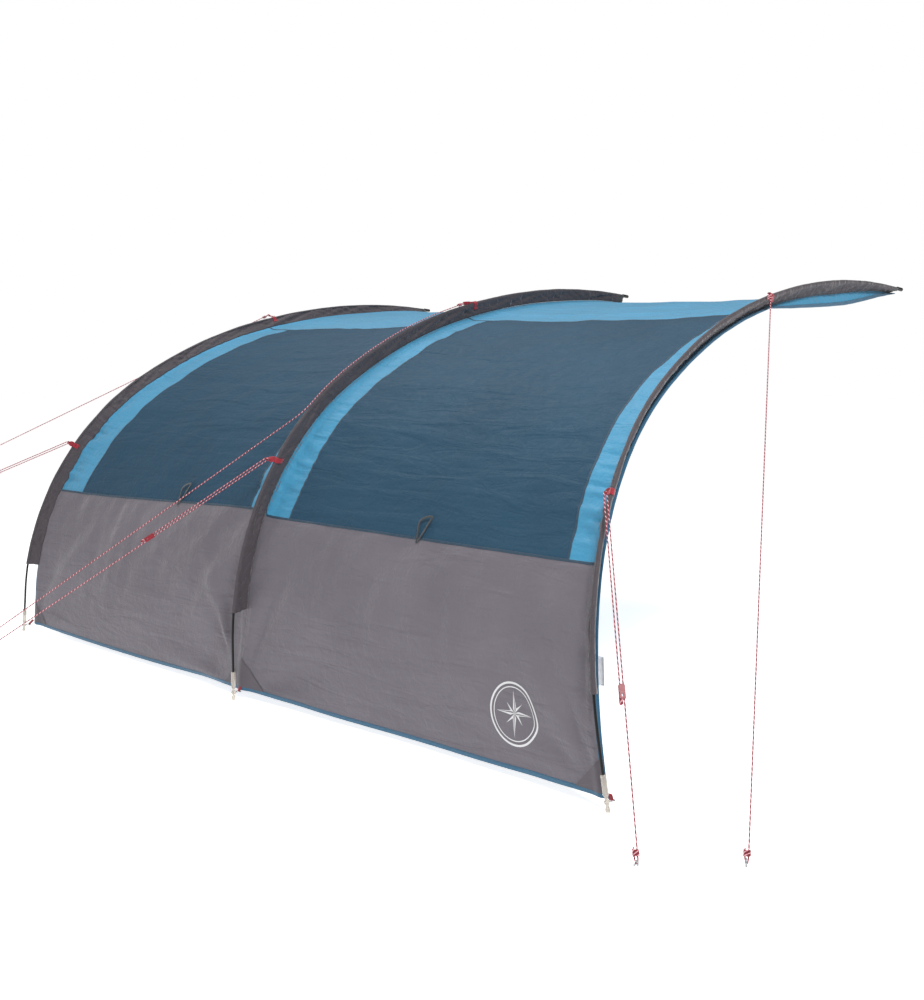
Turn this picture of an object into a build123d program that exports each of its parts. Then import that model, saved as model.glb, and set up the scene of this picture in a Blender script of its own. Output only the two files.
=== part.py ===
"""Open-sided tunnel shelter: three cantilevered hoops, a sewn wall and roof, guy lines and pegs.

Frame, in millimetres: +X runs along the tunnel towards the open front hoop, -Y is the closed
wall, +Y the open side, +Z is up, and Z = 0 is the ground. The origin is under the middle.
"""
from build123d import *
from math import cos, degrees, radians, sin, tan
import os

# ---------------------------------------------------------------- driving dimensions
BAY = 2120                      # ground distance from the middle hoop to each end hoop
HALF_SPAN = 1800                # the ground line of the feet, either side of the middle
MID_STEP_OUT = 38               # the middle hoop stands this much further out than the others
LEAN = {"rear": 9.1, "mid": 0.0, "front": -10.6}    # degrees, positive leans towards +X
POLE_R = 5.5                    # solid fibreglass pole
STRAIGHT = 250                  # a hoop starts with this straight leg
ARCS = [(1480, 58.3), (2890, 16.5), (4600, 20.4)]   # then radius and turn of three tangent arcs
FIN = {"rear": 46, "mid": 60, "front": 46}          # the sleeve's doubled cloth reaches this far
FIN_LEAN = {"rear": -50, "mid": 0, "front": 50}     # degrees; the one bay pulls an end hoop's fin over
SKIN_MID, SKIN_END = 64, 42     # the bay's skin is this far inside the middle hoop, and an end hoop
SKIN_EDGE = {"mid": 4.0, "end": 24.0}   # and its panels stop this far from the hoop's plane
CLOTH = 2.0                     # thickness that stands for a sewn cloth panel
SEAM_GAP = 0.6                  # clear gap left between two neighbouring panels

FOOT_TOP = 100                  # the pole starts at this length, in the foot's socket
SLEEVE_START = 410              # the sleeve's lower mouth, as a length along the pole
JOINTS = [1140, 2160, 3180]     # pole sections meet here, inside a ferrule
HOOP_END = 4190                 # the pole's length along the hoop
HEM_LOW = 42                    # the wall's lower edge, as a length along the hoop
SEAM = 880                      # wall cloth below, blue cloth above
WINDOW_TOP = 2700               # the dark panel ends here and the roof cloth goes on
ROOF_END = 4150                 # the roof cloth ends here
HEM, FAR_HEM = 17.4, 21.4       # widths of the bound edges on the ground side and the free side
BORDER = 0.085                  # width of each light border, as a share of the bay
LOWER_TAB = 1155                # guy tabs, as lengths along the hoop
UPPER_TAB = 2772

CORD_R = 2.5
TURN_R = 5.8                    # a line turns this tightly round a tab's bar or a peg
TAIL = 45                       # what is left over behind a knot
RUNNER = (54.0, 22.0, 9.0)      # length, width, thickness
PEG_R = 3.2

# where each line is tied, and the ends of its main run: beside its hoop tab, and beside its peg or loop.
# The last two say which way its doubled strand lies at the tab and at the peg.
LOWER_LINES = {"rear": ((-1946, -1530, 1100), (-2460, -1781, 883), "up", "side"),
               "mid": ((-12, -1574, 1104), (-1256, -2624, 24), "up", "side"),
               "front": ((1928, -1534, 1082), (2474, -2088, 26), "side", "side")}
UPPER_LINES = {"rear": ((-1840, -150, 1880), (-3391, -1340, 979), "side", "side"),
               "front": ((1792, -150, 1862), (2719, -1856, 26), "side", "side")}
RUNNER_AT = {"rear": 545, "mid": 682, "front": 760}     # distance from the tab along the line
# the middle hoop's upper line lies along the outside of the sleeve before it leaves for its peg
MID_UPPER_START = 2690
MID_UPPER_RESTS = [2560, 2420, 2280, 2140, 2000, 1860, 1720, 1580, 1440]
MID_UPPER_PEG = (-1450, -2540, 26)
TAGS = ["rear", "mid", "front"]
PLACE = {"rear": (-BAY, MID_STEP_OUT - HALF_SPAN), "mid": (0, -HALF_SPAN),
         "front": (BAY, MID_STEP_OUT - HALF_SPAN)}

os.makedirs("parts", exist_ok=True)


# ---------------------------------------------------------------- the hoop's own plane
def hoop_plane(x, y, lean):
    """Local X runs across the tunnel, local Y up the hoop, local Z towards the front."""
    turn = radians(lean)
    return Plane(origin=(x, y, 0), x_dir=(0, 1, 0), z_dir=(cos(turn), 0, -sin(turn)))


def plane_of(tag):
    return hoop_plane(*PLACE[tag], LEAN[tag])


def bay_plane(bay, share):
    """The plane at a share of the bay, 0 at its rear hoop and 1 at its front hoop."""
    back, ahead = ("rear", "mid") if bay == "rear" else ("mid", "front")
    mix = [a + (b - a) * share for a, b in zip((*PLACE[back], LEAN[back]), (*PLACE[ahead], LEAN[ahead]))]
    return hoop_plane(*mix)


def stretches(start, end):
    """The straight leg and the arcs between two lengths along the hoop.

    Each is (radius, length, point, heading) with no radius for the leg, and the heading in degrees.
    """
    found, point, heading, reached = [], (0.0, 0.0), 90.0, 0.0
    spans = [(None, STRAIGHT), *[(radius, radius * radians(turn)) for radius, turn in ARCS]]
    for radius, span in spans:
        low, high = max(start, reached), min(end, reached + span)
        if high > low + 1e-6:
            found.append((radius, high - low, *step(point, heading, radius, low - reached)))
        point, heading = step(point, heading, radius, span)
        reached += span
    return found


def step(point, heading, radius, length):
    """Move along a straight line, or along an arc that bends down, by a length."""
    if radius is None:
        return (point[0] + length * cos(radians(heading)),
                point[1] + length * sin(radians(heading))), heading
    after = heading - degrees(length / radius)
    return (point[0] + radius * (sin(radians(heading)) - sin(radians(after))),
            point[1] + radius * (cos(radians(after)) - cos(radians(heading)))), after


def spot(length, outward=0.0):
    """Point and heading at a length along the hoop, moved outward from its centre line."""
    radius, span, point, heading = stretches(0, length)[-1]
    point, heading = step(point, heading, radius, span)
    return (point[0] - outward * sin(radians(heading)), point[1] + outward * cos(radians(heading))), heading


def edge_chain(start, end, outward):
    """The hoop's line between two lengths, offset outward, as edges in the local XY plane."""
    edges = []
    for radius, span, point, heading in stretches(start, end):
        turn = radians(heading)
        begin = (point[0] - outward * sin(turn), point[1] + outward * cos(turn))
        ahead = (cos(turn), sin(turn))
        if radius is None:
            edges.append(Line(begin, (begin[0] + span * ahead[0], begin[1] + span * ahead[1])))
        else:
            edges.append(JernArc(begin, ahead, radius + outward, -degrees(span / radius)))
    return edges


def strip_face(start, end, outside, inside):
    """A flat strip along the hoop, between two offsets."""
    outer, inner = edge_chain(start, end, outside), edge_chain(start, end, inside)
    closing = [Line(outer[0] @ 0, inner[0] @ 0), Line(outer[-1] @ 1, inner[-1] @ 1)]
    return make_face([*outer, *inner, *closing])


def along_hoop(section, start, end):
    """Carry a section along the hoop. Its local X is outward and its local Y is +Z of the hoop."""
    pieces = []
    for radius, span, point, heading in stretches(start, end):
        turn = radians(heading)
        cut = Plane(origin=(*point, 0), x_dir=(-sin(turn), cos(turn), 0), z_dir=(cos(turn), sin(turn), 0))
        face = cut * section
        if radius is None:
            pieces.append(extrude(face, amount=span, dir=(cos(turn), sin(turn), 0)))
            continue
        centre = (point[0] + radius * sin(turn), point[1] - radius * cos(turn), 0)
        pieces.append(revolve(face, axis=Axis(centre, (0, 0, -1)), revolution_arc=degrees(span / radius)))
    whole = pieces[0]
    for piece in pieces[1:]:
        whole = whole + piece
    return whole


def save(name, *solids):
    body = Compound(children=list(solids)) if len(solids) > 1 else solids[0]
    export_step(body, f"parts/{name}.step")


# ---------------------------------------------------------------- hoops
def sleeve_section(tag):
    """A pocket round the pole with a flat fin of doubled cloth down to the panels."""
    outer = Circle(POLE_R + 3.0) + Rot(0, 0, FIN_LEAN[tag]) * Pos(-FIN[tag] / 2, 0) * Rectangle(FIN[tag], 4.0)
    return outer - Circle(POLE_R + 1.2)


def make_hoop(tag):
    plane, end = plane_of(tag), HOOP_END
    stops = [FOOT_TOP, *JOINTS, end]
    for name, low, high in zip(["wall", "shoulder", "roof", "far"], stops, stops[1:]):
        pole = along_hoop(Circle(POLE_R), low, high - 0.5)
        save(f"{tag}_pole_{name}", plane * pole)
    tube = Circle(POLE_R + 1.0) - Circle(POLE_R + 0.1)
    FERRULES.extend(plane * along_hoop(tube, at - 45, at + 45) for at in JOINTS)
    save(f"{tag}_sleeve", plane * along_hoop(sleeve_section(tag), SLEEVE_START, end - 90))


def foot_piece():
    """A clear moulded foot: a cup for the pole, a neck, a side knob and a blunt tip on the ground."""
    outline = Polyline((0, -12), (7, -12), (9, 10), (6, 22), (6, 52), (10.5, 60), (10.5, 132),
                       (POLE_R + 0.1, 132), (POLE_R + 0.1, FOOT_TOP - 1), (0, FOOT_TOP - 1), close=True)
    turned = revolve(make_face(outline), axis=Axis.Y)
    knob = Pos(0, 36, 0) * extrude(Circle(9.5), amount=5, both=True)
    return turned + knob


def on_ground(foot):
    """Cut a leaning foot off flat where it meets the ground."""
    return foot - Pos(foot.center().X, foot.center().Y, -100) * Box(300, 300, 200)


RING_UP = 35                    # height of the ring beside the foot's neck


def foot_ring():
    """The steel ring that hangs off the foot's webbing, beside the neck."""
    return Pos(26, RING_UP, 0) * Rot(90, 0, 0) * Torus(12, 2)


def foot_webbing():
    """Red webbing from the hem's corner, with the ring through its fold."""
    band = extrude(SlotOverall(28, 12), amount=8, both=True) - extrude(SlotOverall(24, 8), amount=11, both=True)
    return Pos(40, RING_UP, 0) * band


def make_feet(tag):
    plane = plane_of(tag)
    FEET.append(on_ground(plane * foot_piece()))
    RINGS.append(plane * foot_ring())
    WEBBINGS.append(plane * foot_webbing())


def carry(section, point, heading, length):
    """Carry one section straight on from a point of the hoop."""
    turn = radians(heading)
    cut = Plane(origin=(*point, 0), x_dir=(-sin(turn), cos(turn), 0), z_dir=(cos(turn), sin(turn), 0))
    return extrude(cut * section, amount=length, dir=(cos(turn), sin(turn), 0))


def make_tip_cap(tag):
    """Each hoop's free end is in a moulded cap, which the sheet's corner pulls down like a bowstring."""
    point, heading = spot(HOOP_END - 40)
    cup = carry(Circle(POLE_R + 4.0), point, heading, 50) + carry(Circle(POLE_R + 2.0), point, heading, 54)
    save(f"{tag}_tip_cap", plane_of(tag) * (cup - carry(Circle(POLE_R + 0.6), point, heading, 41)))


# ---------------------------------------------------------------- sewn panels
def skin_at(bay, share):
    """How far inside the hoops' line the bay's skin is, at a share of the bay."""
    from_middle = 1 - share if bay == "rear" else share
    return SKIN_MID + (SKIN_END - SKIN_MID) * from_middle


def cloth(bay, start, end, share_low, share_high, outside=0.0, thick=CLOTH):
    """A panel of the bay's skin, between two lengths along the hoops and two shares of the bay."""
    rims = []
    for share in (share_low, share_high):
        top = outside - skin_at(bay, share)
        rims.append(bay_plane(bay, share) * strip_face(start, end, top, top - thick))
    return loft(rims, ruled=True)


def shares(bay, low, high):
    """Shares of the bay that stop short of both hoops, and leave the seam gap clear."""
    rear, front = ("end", "mid") if bay == "rear" else ("mid", "end")
    slit = SEAM_GAP / BAY
    return (max(low, SKIN_EDGE[rear] / BAY) + slit, min(high, 1 - SKIN_EDGE[front] / BAY) - slit)


def make_bay(bay):
    whole = shares(bay, 0, 1)
    save(f"{bay}_bay_wall", cloth(bay, HEM_LOW + HEM + SEAM_GAP, SEAM - SEAM_GAP, *whole))
    columns = {"window": (BORDER, 1 - BORDER), "border_rear": (0, BORDER), "border_front": (1 - BORDER, 1)}
    for name, (low, high) in columns.items():
        panel = cloth(bay, SEAM + SEAM_GAP, WINDOW_TOP - SEAM_GAP, *shares(bay, low, high))
        save(f"{bay}_bay_{name}", panel)
    save(f"{bay}_bay_roof", cloth(bay, WINDOW_TOP + SEAM_GAP, ROOF_END - FAR_HEM - SEAM_GAP, *whole))
    save(f"{bay}_bay_hem", cloth(bay, HEM_LOW, HEM_LOW + HEM, *whole, outside=1.0, thick=4.0))
    save(f"{bay}_bay_far_hem", cloth(bay, ROOF_END - FAR_HEM, ROOF_END, *whole, outside=1.0, thick=4.0))


def edge_binding(tag, side):
    """Blue tape that finishes an open end of the tunnel, under the end hoop."""
    strip = strip_face(HEM_LOW, ROOF_END, 1.5 - SKIN_END, -1.5 - SKIN_END)
    tape = extrude(Pos(0, 0, -18 * side) * strip, amount=22 * side)
    save(f"{tag}_edge_binding", plane_of(tag) * tape)


# ---------------------------------------------------------------- tabs
def tab_clasp(tag, length, width):
    """Folded webbing that clasps the sleeve, sewn through the fin."""
    half = POLE_R + 3.6
    outer = [(-44, -half - 1.6), (6, -half - 1.6), (12, -4), (12, 4), (6, half + 1.6), (-44, half + 1.6)]
    inner = [(-44, half), (5.4, half), (10.4, 3.2), (10.4, -3.2), (5.4, -half), (-44, -half)]
    point, heading = spot(length - width / 2)
    section = make_face(Polyline(*outer, *inner, close=True))
    return carry(Rot(0, 0, FIN_LEAN[tag]) * section, point, heading, width)


def line_frame(start, end):
    """Directions of a line: along it, level across it, and upright across it."""
    along = (Vector(*end) - Vector(*start)).normalized()
    side = along.cross(Vector(0, 0, 1)).normalized()
    return along, {"side": side, "up": side.cross(along).normalized()}


def tab_loop(centre, along, across):
    """The tab's free loop: a flat ring of webbing that a line turns round."""
    ring = extrude(SlotOverall(30, 16), amount=3, both=True) - extrude(SlotOverall(25, 11), amount=4, both=True)
    return Plane(origin=centre, x_dir=along, z_dir=across) * Pos(-12.5 - 1.25, 0, 0) * ring


# ---------------------------------------------------------------- guy lines
def turned_line(start, end, tab_side, peg_side, tab_tail, middle=()):
    """The points of a line's route: tail, turn at the peg, main run, turn at the tab, tail."""
    first_along, first_ways = line_frame(start, [*middle, end][0])
    last_along, last_ways = line_frame([start, *middle][-1], end)
    tab_in = Vector(*start) - first_along * TURN_R
    tab_out = tab_in + first_ways[tab_side] * 2 * TURN_R
    peg_in = Vector(*end) + last_along * TURN_R
    peg_out = peg_in + last_ways[peg_side] * 2 * TURN_R
    rests = [Vector(*place) for place in reversed(middle)]
    return [peg_out - last_along * (TURN_R + TAIL), peg_out, peg_in, *rests,
            tab_in, tab_out, tab_out + first_along * (TURN_R + tab_tail)]


def fillet_radii(points, turns):
    """Each arc takes 0.45 of its shorter run, but a turn round a bar or a peg keeps its own radius."""
    radii = []
    for index in range(1, len(points) - 1):
        before, after = points[index] - points[index - 1], points[index + 1] - points[index]
        half = radians(before.get_angle(after)) / 2
        radii.append(turns.get(index, 0.45 * min(before.length, after.length) / tan(half)))
    return radii


def save_line(name, points):
    last = len(points) - 1
    turns = {corner: TURN_R - 0.05 for corner in (1, 2, last - 2, last - 1)}
    path = FilletPolyline(*points, radius=fillet_radii(points, turns))
    section = Plane(origin=path @ 0, z_dir=path % 0) * Circle(CORD_R)
    tube = sweep(section, path=path)
    print(name, "length", round(path.length), "volume ratio", round(tube.volume / (path.length * section.area), 3),
          "radii", [round(r) for r in fillet_radii(points, turns)])
    save(name, tube)


def knot(centre, along, across, spread=TURN_R):
    """A tied knot that holds a line's two strands, centred on them."""
    block = fillet(Box(15, 2 * spread + 9, 9).edges(), 3)
    bores = [Pos(0, way * spread, 0) * Rot(0, 90, 0) * Cylinder(CORD_R + 0.15, 30) for way in (-1, 1)]
    return Plane(origin=centre, x_dir=along, z_dir=along.cross(across)) * (block - bores[0] - bores[1])


def peg(centre, along, side):
    """A bent steel peg, square to its line; only what stands above the ground."""
    upright = along.cross(side).normalized()
    upright = upright if upright.Z > 0 else upright * -1
    away = upright.cross(side).normalized()
    away = away if away.dot(along) > 0 else away * -1
    foot, top = centre - upright * 70, centre + upright * 16
    shaft = extrude(Plane(origin=foot, z_dir=upright) * Circle(PEG_R), amount=86)
    axis = Axis(top + away * 9, side if away.cross(upright).dot(side) < 0 else side * -1)
    hook = revolve(Plane(origin=top, z_dir=upright) * Circle(PEG_R), axis=axis, revolution_arc=150)
    return (shaft + hook) - Pos(*centre) * Pos(0, 0, -centre.Z - 200) * Box(400, 400, 400)


def runner(centre, along, across):
    """A flat moulded slider with a bore for each strand and a finger window."""
    length, width, thick = RUNNER
    plate = extrude(RectangleRounded(length, width, 7), amount=thick / 2, both=True)
    plate = fillet(plate.edges().filter_by(GeomType.LINE, reverse=True).group_by(Axis.Z)[0], 1.5)
    for way in (-1, 1):
        plate -= Pos(0, way * TURN_R, 0) * Rot(0, 90, 0) * Cylinder(CORD_R + 0.3, length + 10)
    plate -= Pos(length * 0.22, 0, 0) * extrude(SlotOverall(12, 4.4), amount=thick, both=True)
    return Plane(origin=centre, x_dir=along, z_dir=along.cross(across)) * plate


def make_lines():
    knots, pegs, loops, clasps = [], [], [], []
    for tag in TAGS:
        plane = plane_of(tag)
        clasps += [plane * tab_clasp(tag, at, 26) for at in (LOWER_TAB, UPPER_TAB)]
        # lower line, doubled from its tab to its runner
        start, end, tab_side, peg_side = LOWER_LINES[tag]
        along, ways = line_frame(start, end)
        points = turned_line(start, end, tab_side, peg_side, RUNNER_AT[tag] + 42)
        save_line(f"{tag}_lower_line", points)
        loops.append(tab_loop(Vector(*start) + ways[tab_side] * TURN_R, along, ways[tab_side]))
        save(f"{tag}_runner", runner(Vector(*start) + ways[tab_side] * TURN_R + along * RUNNER_AT[tag], along,
                                     ways[tab_side]))
        stop = points[-1] - along * 7
        bead = extrude(Plane(origin=stop, z_dir=along) * (Circle(4.6) - Circle(CORD_R + 0.1)), amount=7)
        knots.append(bead)
        peg_centre = Vector(*end) + ways[peg_side] * TURN_R
        knots.append(knot(peg_centre - along * 28, along, ways[peg_side]))
        if tag != "rear":
            pegs.append(peg(peg_centre, along, ways["side"]))
        # upper line, tied off at its tab
        if tag == "mid":
            continue
        start, end, tab_side, peg_side = UPPER_LINES[tag]
        along, ways = line_frame(start, end)
        save_line(f"{tag}_upper_line", turned_line(start, end, tab_side, peg_side, TAIL))
        tab_centre = Vector(*start) + ways[tab_side] * TURN_R
        peg_centre = Vector(*end) + ways[peg_side] * TURN_R
        loops.append(tab_loop(tab_centre, along, ways[tab_side]))
        knots += [knot(tab_centre + along * 30, along, ways[tab_side]),
                  knot(peg_centre - along * 28, along, ways[peg_side])]
        if tag != "rear":
            pegs.append(peg(peg_centre, along, ways["side"]))
    make_mid_upper(knots, pegs, loops)
    save("guy_tabs", *clasps, *loops)
    save("guy_knots", *knots)
    save("pegs", *pegs)


def on_sleeve(length, outward, forward):
    """A point beside the middle hoop, in the object's frame."""
    (across, up), _ = spot(length, outward)
    return (PLACE["mid"][0] + forward, PLACE["mid"][1] + across, up)


def make_mid_upper(knots, pegs, loops):
    start, end = on_sleeve(MID_UPPER_START, 17, 2), MID_UPPER_PEG
    middle = [on_sleeve(at, 15, 0) for at in MID_UPPER_RESTS]
    save_line("mid_upper_line", turned_line(start, end, "side", "side", TAIL, middle=middle))
    along, ways = line_frame(start, middle[0])
    centre = Vector(*start) + ways["side"] * TURN_R
    loops.append(tab_loop(centre, along, ways["side"]))
    knots.append(knot(centre + along * 30, along, ways["side"]))
    along, ways = line_frame(middle[-1], end)
    centre = Vector(*end) + ways["side"] * TURN_R
    knots.append(knot(centre - along * 28, along, ways["side"]))
    pegs.append(peg(centre, along, ways["side"]))


# ---------------------------------------------------------------- the whole shelter
def make_window_loops():
    """Black webbing loops on the seam, that hold the window's rolled cover."""
    loops = []
    for bay, share in (("rear", 0.62), ("front", 0.42)):
        (across, up), heading = spot(SEAM + 34, 6 - skin_at(bay, share))
        turn = radians(heading)
        place = Plane(origin=(across, up, 0), x_dir=(cos(turn), sin(turn), 0), z_dir=(-sin(turn), cos(turn), 0))
        band = SlotOverall(64, 30) - SlotOverall(48, 14)
        loops.append(bay_plane(bay, share) * place * extrude(band, amount=0.8, both=True))
    save("window_loops", *loops)


FERRULES, FEET, RINGS, WEBBINGS = [], [], [], []
for hoop in TAGS:
    make_hoop(hoop)
    make_feet(hoop)
    make_tip_cap(hoop)
save("pole_ferrules", *FERRULES)
save("feet", *FEET)
save("foot_rings", *RINGS)
save("foot_webbings", *WEBBINGS)
for span_name in ("rear", "front"):
    make_bay(span_name)
edge_binding("front", 1)
edge_binding("rear", -1)
make_window_loops()
make_lines()
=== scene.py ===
# %% [markdown]
# # An open-sided tunnel shelter
#
# Three bent pole hoops stand on one foot each, held back by guy lines, and carry a sheet that is wall on
# one side and roof above. The CAD frame brings the poles, feet, caps, runners and pegs. Everything sewn or
# tied is made here: cloth as curved sheets with sag and creases, sleeves, tapes, webbing, and braided
# guy lines.

# %% Load the frame
import bmesh
import bpy
import math
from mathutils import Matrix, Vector, noise


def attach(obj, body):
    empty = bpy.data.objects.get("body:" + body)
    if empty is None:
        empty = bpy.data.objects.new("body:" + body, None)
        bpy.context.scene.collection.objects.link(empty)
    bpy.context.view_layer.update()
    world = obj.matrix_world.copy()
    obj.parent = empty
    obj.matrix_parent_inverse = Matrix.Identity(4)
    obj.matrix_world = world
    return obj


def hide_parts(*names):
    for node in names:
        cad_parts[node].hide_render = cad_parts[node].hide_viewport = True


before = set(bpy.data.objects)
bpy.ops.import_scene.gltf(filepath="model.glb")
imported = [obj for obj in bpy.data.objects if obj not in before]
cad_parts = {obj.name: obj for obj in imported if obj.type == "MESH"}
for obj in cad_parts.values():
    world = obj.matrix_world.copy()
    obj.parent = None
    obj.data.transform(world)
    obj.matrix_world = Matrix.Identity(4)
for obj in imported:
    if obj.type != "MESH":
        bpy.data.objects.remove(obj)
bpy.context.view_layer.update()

# %% [markdown]
# ## The hoop's own line
#
# A bent fibreglass pole is close to a straight leg and a few tangent arcs that open out towards the roof.
# Two numbers then give any place on the shelter: how far along the pole, and which share of the way
# from the rear hoop (-1) over the middle one (0) to the front one (1). The sheet, its seams and every
# patch use the same two numbers, so they can't drift apart.

# %% Hoop line and sheet coordinates
BAY = 2.120
HALF_SPAN = 1.800
STEP_OUT = 0.038
LEAN_REAR, LEAN_FRONT = 9.1, -10.6
STRAIGHT = 0.250
ARCS = [(1.480, 58.3), (2.890, 16.5), (4.600, 20.0)]
SKIN_MID, SKIN_END = 0.076, 0.056       # how far inside a hoop its sheet is
HEM_LOW, SEAM, WINDOW_TOP, ROOF_END = 0.042, 0.880, 2.700, 4.150
SLEEVE_START, HOOP_END = 0.410, 4.190
LOWER_TAB, UPPER_TAB = 1.155, 2.772
# each light border as a share of its bay, at the bay's rear end and front end
BORDERS = {"rear": (0.130, 0.075), "front": (0.080, 0.085)}


def hoop(length, outward=0.0):
    """Place and heading on the hoop's line, moved outward from it: across, up, heading in radians."""
    across, up, heading, left = 0.0, min(length, STRAIGHT), math.pi / 2, max(0.0, length - STRAIGHT)
    for radius, turn in ARCS:
        last = radius == ARCS[-1][0]
        span = left if last else min(left, radius * math.radians(turn))
        after = heading - span / radius
        across += radius * (math.sin(heading) - math.sin(after))
        up += radius * (math.cos(after) - math.cos(heading))
        heading, left = after, left - span
    return across - outward * math.sin(heading), up + outward * math.cos(heading), heading


def place(share, across, up, forward=0.0):
    """A point of a hoop's plane, as a point of the shelter."""
    lean = math.radians(abs(share) * (LEAN_FRONT if share > 0 else LEAN_REAR))
    ground = Vector((share * BAY, STEP_OUT * abs(share) - HALF_SPAN, 0))
    return ground + Vector((0, across, 0)) + up * Vector((math.sin(lean), 0, math.cos(lean))) \
        + forward * Vector((math.cos(lean), 0, -math.sin(lean)))


def on_hoop(share, length, outward=0.0, forward=0.0):
    across, up, _ = hoop(length, outward)
    return place(share, across, up, forward)


print("front hoop ends at", [round(v, 3) for v in on_hoop(1, HOOP_END)])

# %% [markdown]
# ## Camera, floor and light
#
# The shelter stands in a plain white studio. The camera is at eye level off the front corner. The lens is
# given for the frame's long side, which is its height.

# %% Camera, floor, light
LENS_MM, SENSOR_MM = 43.2, 36.0
CAMERA_AT = (4.510, -5.025, 1.522)
CAMERA_AZIMUTH, CAMERA_DOWN = 43.41, 6.17


def make_camera():
    data = bpy.data.cameras.new("camera")
    data.sensor_width = SENSOR_MM
    data.lens = LENS_MM
    cam = bpy.data.objects.new("camera", data)
    bpy.context.collection.objects.link(cam)
    cam.location = CAMERA_AT
    cam.rotation_euler = (math.radians(90 - CAMERA_DOWN), 0, math.radians(CAMERA_AZIMUTH))
    bpy.context.scene.camera = cam


def to_linear(value):
    return value / 12.92 if value <= 0.04045 else ((value + 0.055) / 1.055) ** 2.4


def colour(hex_code):
    """A #RRGGBB colour as linear RGBA."""
    return tuple(to_linear(int(hex_code[i:i + 2], 16) / 255) for i in (1, 3, 5)) + (1.0,)


def node(tree, kind, settings=None, **inputs):
    """Adds a node. Settings are its properties; inputs are values, or sockets to link from.

    An input's name has _ for a space, and in0, in1 name an input by its number.
    """
    made = tree.nodes.new(kind)
    for key, value in (settings or {}).items():
        setattr(made, key, value)
    for key, value in inputs.items():
        numbered = key[:2] == "in" and key[2:].isdigit()
        socket = made.inputs[int(key[2:])] if numbered else made.inputs[key.replace("_", " ")]
        if isinstance(value, bpy.types.NodeSocket):
            tree.links.new(value, socket)
        else:
            socket.default_value = value
    return made


def new_material(name):
    """A node material with a Principled shader. Returns material, tree, shader."""
    made = bpy.data.materials.new(name)
    made.use_nodes = True
    tree = made.node_tree
    tree.nodes.clear()
    shader = node(tree, "ShaderNodeBsdfPrincipled")
    node(tree, "ShaderNodeOutputMaterial", Surface=shader.outputs[0])
    return made, tree, shader


def add_object(name, mesh, *materials):
    made = bpy.data.objects.new(name, mesh)
    bpy.context.collection.objects.link(made)
    for material in materials:
        made.data.materials.append(material)
    return made


def make_stage():
    size = 60
    mesh = bpy.data.meshes.new("floor")
    corners = [(-size, -size, 0), (size, -size, 0), (size, size, 0), (-size, size, 0)]
    mesh.from_pydata(corners, [], [(0, 1, 2, 3)])
    material, tree, shader = new_material("studio_floor_matt_paint")
    shader.inputs["Base Color"].default_value = colour("#F8F8F8")
    shader.inputs["Roughness"].default_value = 0.9
    shader.inputs["Emission Color"].default_value = (1.0, 1.0, 1.0, 1.0)
    shader.inputs["Emission Strength"].default_value = FLOOR_GLOW
    floor = add_object("studio_floor", mesh, material)


def make_world():
    """White all round: bright where it is seen, softer as a light."""
    world = bpy.data.worlds.new("studio")
    bpy.context.scene.world = world
    world.use_nodes = True
    tree = world.node_tree
    tree.nodes.clear()
    seen = node(tree, "ShaderNodeLightPath").outputs["Is Camera Ray"]
    strength = node(tree, "ShaderNodeMapRange", Value=seen, in3=SKY_LIGHT, in4=SKY_SEEN)
    sky = node(tree, "ShaderNodeBackground", Color=(1.0, 1.0, 1.0, 1.0), Strength=strength.outputs[0])
    node(tree, "ShaderNodeOutputWorld", Surface=sky.outputs[0])


def make_lights():
    for name, at, aim, size, watts in (
            ("key", (5.0, -3.2, 6.2), (0.2, -0.8, 0.8), 1.2, 360),
            ("fill", (-6.0, -5.0, 3.5), (0, -0.5, 0.9), 4.0, 30),
            ("top", (-1.6, -0.4, 6.5), (-0.4, -0.4, 1.5), 2.5, 170)):
        data = bpy.data.lights.new(name, "AREA")
        data.size, data.energy = size, watts
        light = bpy.data.objects.new(name, data)
        bpy.context.collection.objects.link(light)
        light.location = at
        light.rotation_euler = (Vector(aim) - Vector(at)).to_track_quat("-Z", "Y").to_euler()


FLOOR_GLOW, SKY_LIGHT, SKY_SEEN = 0.72, 0.30, 1.0
bpy.context.scene.view_settings.view_transform = "Standard"      # so that white stays white
make_camera()
make_stage()
make_world()
make_lights()
print("camera lens", round(bpy.context.scene.camera.data.lens, 2), "mm")

# %% [markdown]
# ## Sewing helpers
#
# Nearly every piece is a grid of points from a formula, or a flat band that follows a path. One small
# class collects both and makes a single mesh, with a UV map in metres so that weaves keep their scale.

# %% Grids and bands
BAND_SECTION = [(-1, 0), (-0.92, 0.5), (-0.5, 0.5), (0, 0.5), (0.5, 0.5), (0.92, 0.5),
                (1, 0), (0.92, -0.5), (0.5, -0.5), (0, -0.5), (-0.5, -0.5), (-0.92, -0.5)]


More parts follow.
